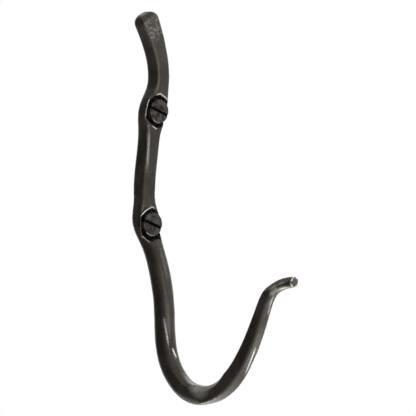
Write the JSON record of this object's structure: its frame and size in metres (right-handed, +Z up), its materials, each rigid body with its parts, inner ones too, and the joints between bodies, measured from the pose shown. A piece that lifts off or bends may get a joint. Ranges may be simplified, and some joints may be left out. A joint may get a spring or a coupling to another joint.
{
  "type": "meat hook",
  "caption": "Hand-forged black iron wall hook with a deep J-shaped bend and a turned-out tip, held to the wall by slotted screws in punched seats.",
  "frame": {"origin": "on the wall plane, under the hook's flat back, midway between the two screws", "axes": "+Z up; +Y into the wall, so the hook stands out towards -Y; +X to the right as seen from the room"},
  "size_m": [0.0163, 0.1183, 0.1534],
  "materials": {
    "forged_iron": "blackened and oiled, hammered",
    "screw_iron": "blackened, worn on the heads"
  },
  "bodies": {
    "hook": {"forged_hook": "forged_iron"},
    "upper_screw": {"upper_screw": "screw_iron"},
    "lower_screw": {"lower_screw": "screw_iron"}
  },
  "joints": [
    {"name": "upper_screw_turn", "type": "hinge", "parent": "hook", "child": "upper_screw", "pos_m": [0, 0, 0.0225], "axis": [0, 1, 0], "continuous": true},
    {"name": "lower_screw_turn", "type": "hinge", "parent": "hook", "child": "lower_screw", "pos_m": [0, 0, -0.0225], "axis": [0, 1, 0], "continuous": true}
  ]
}
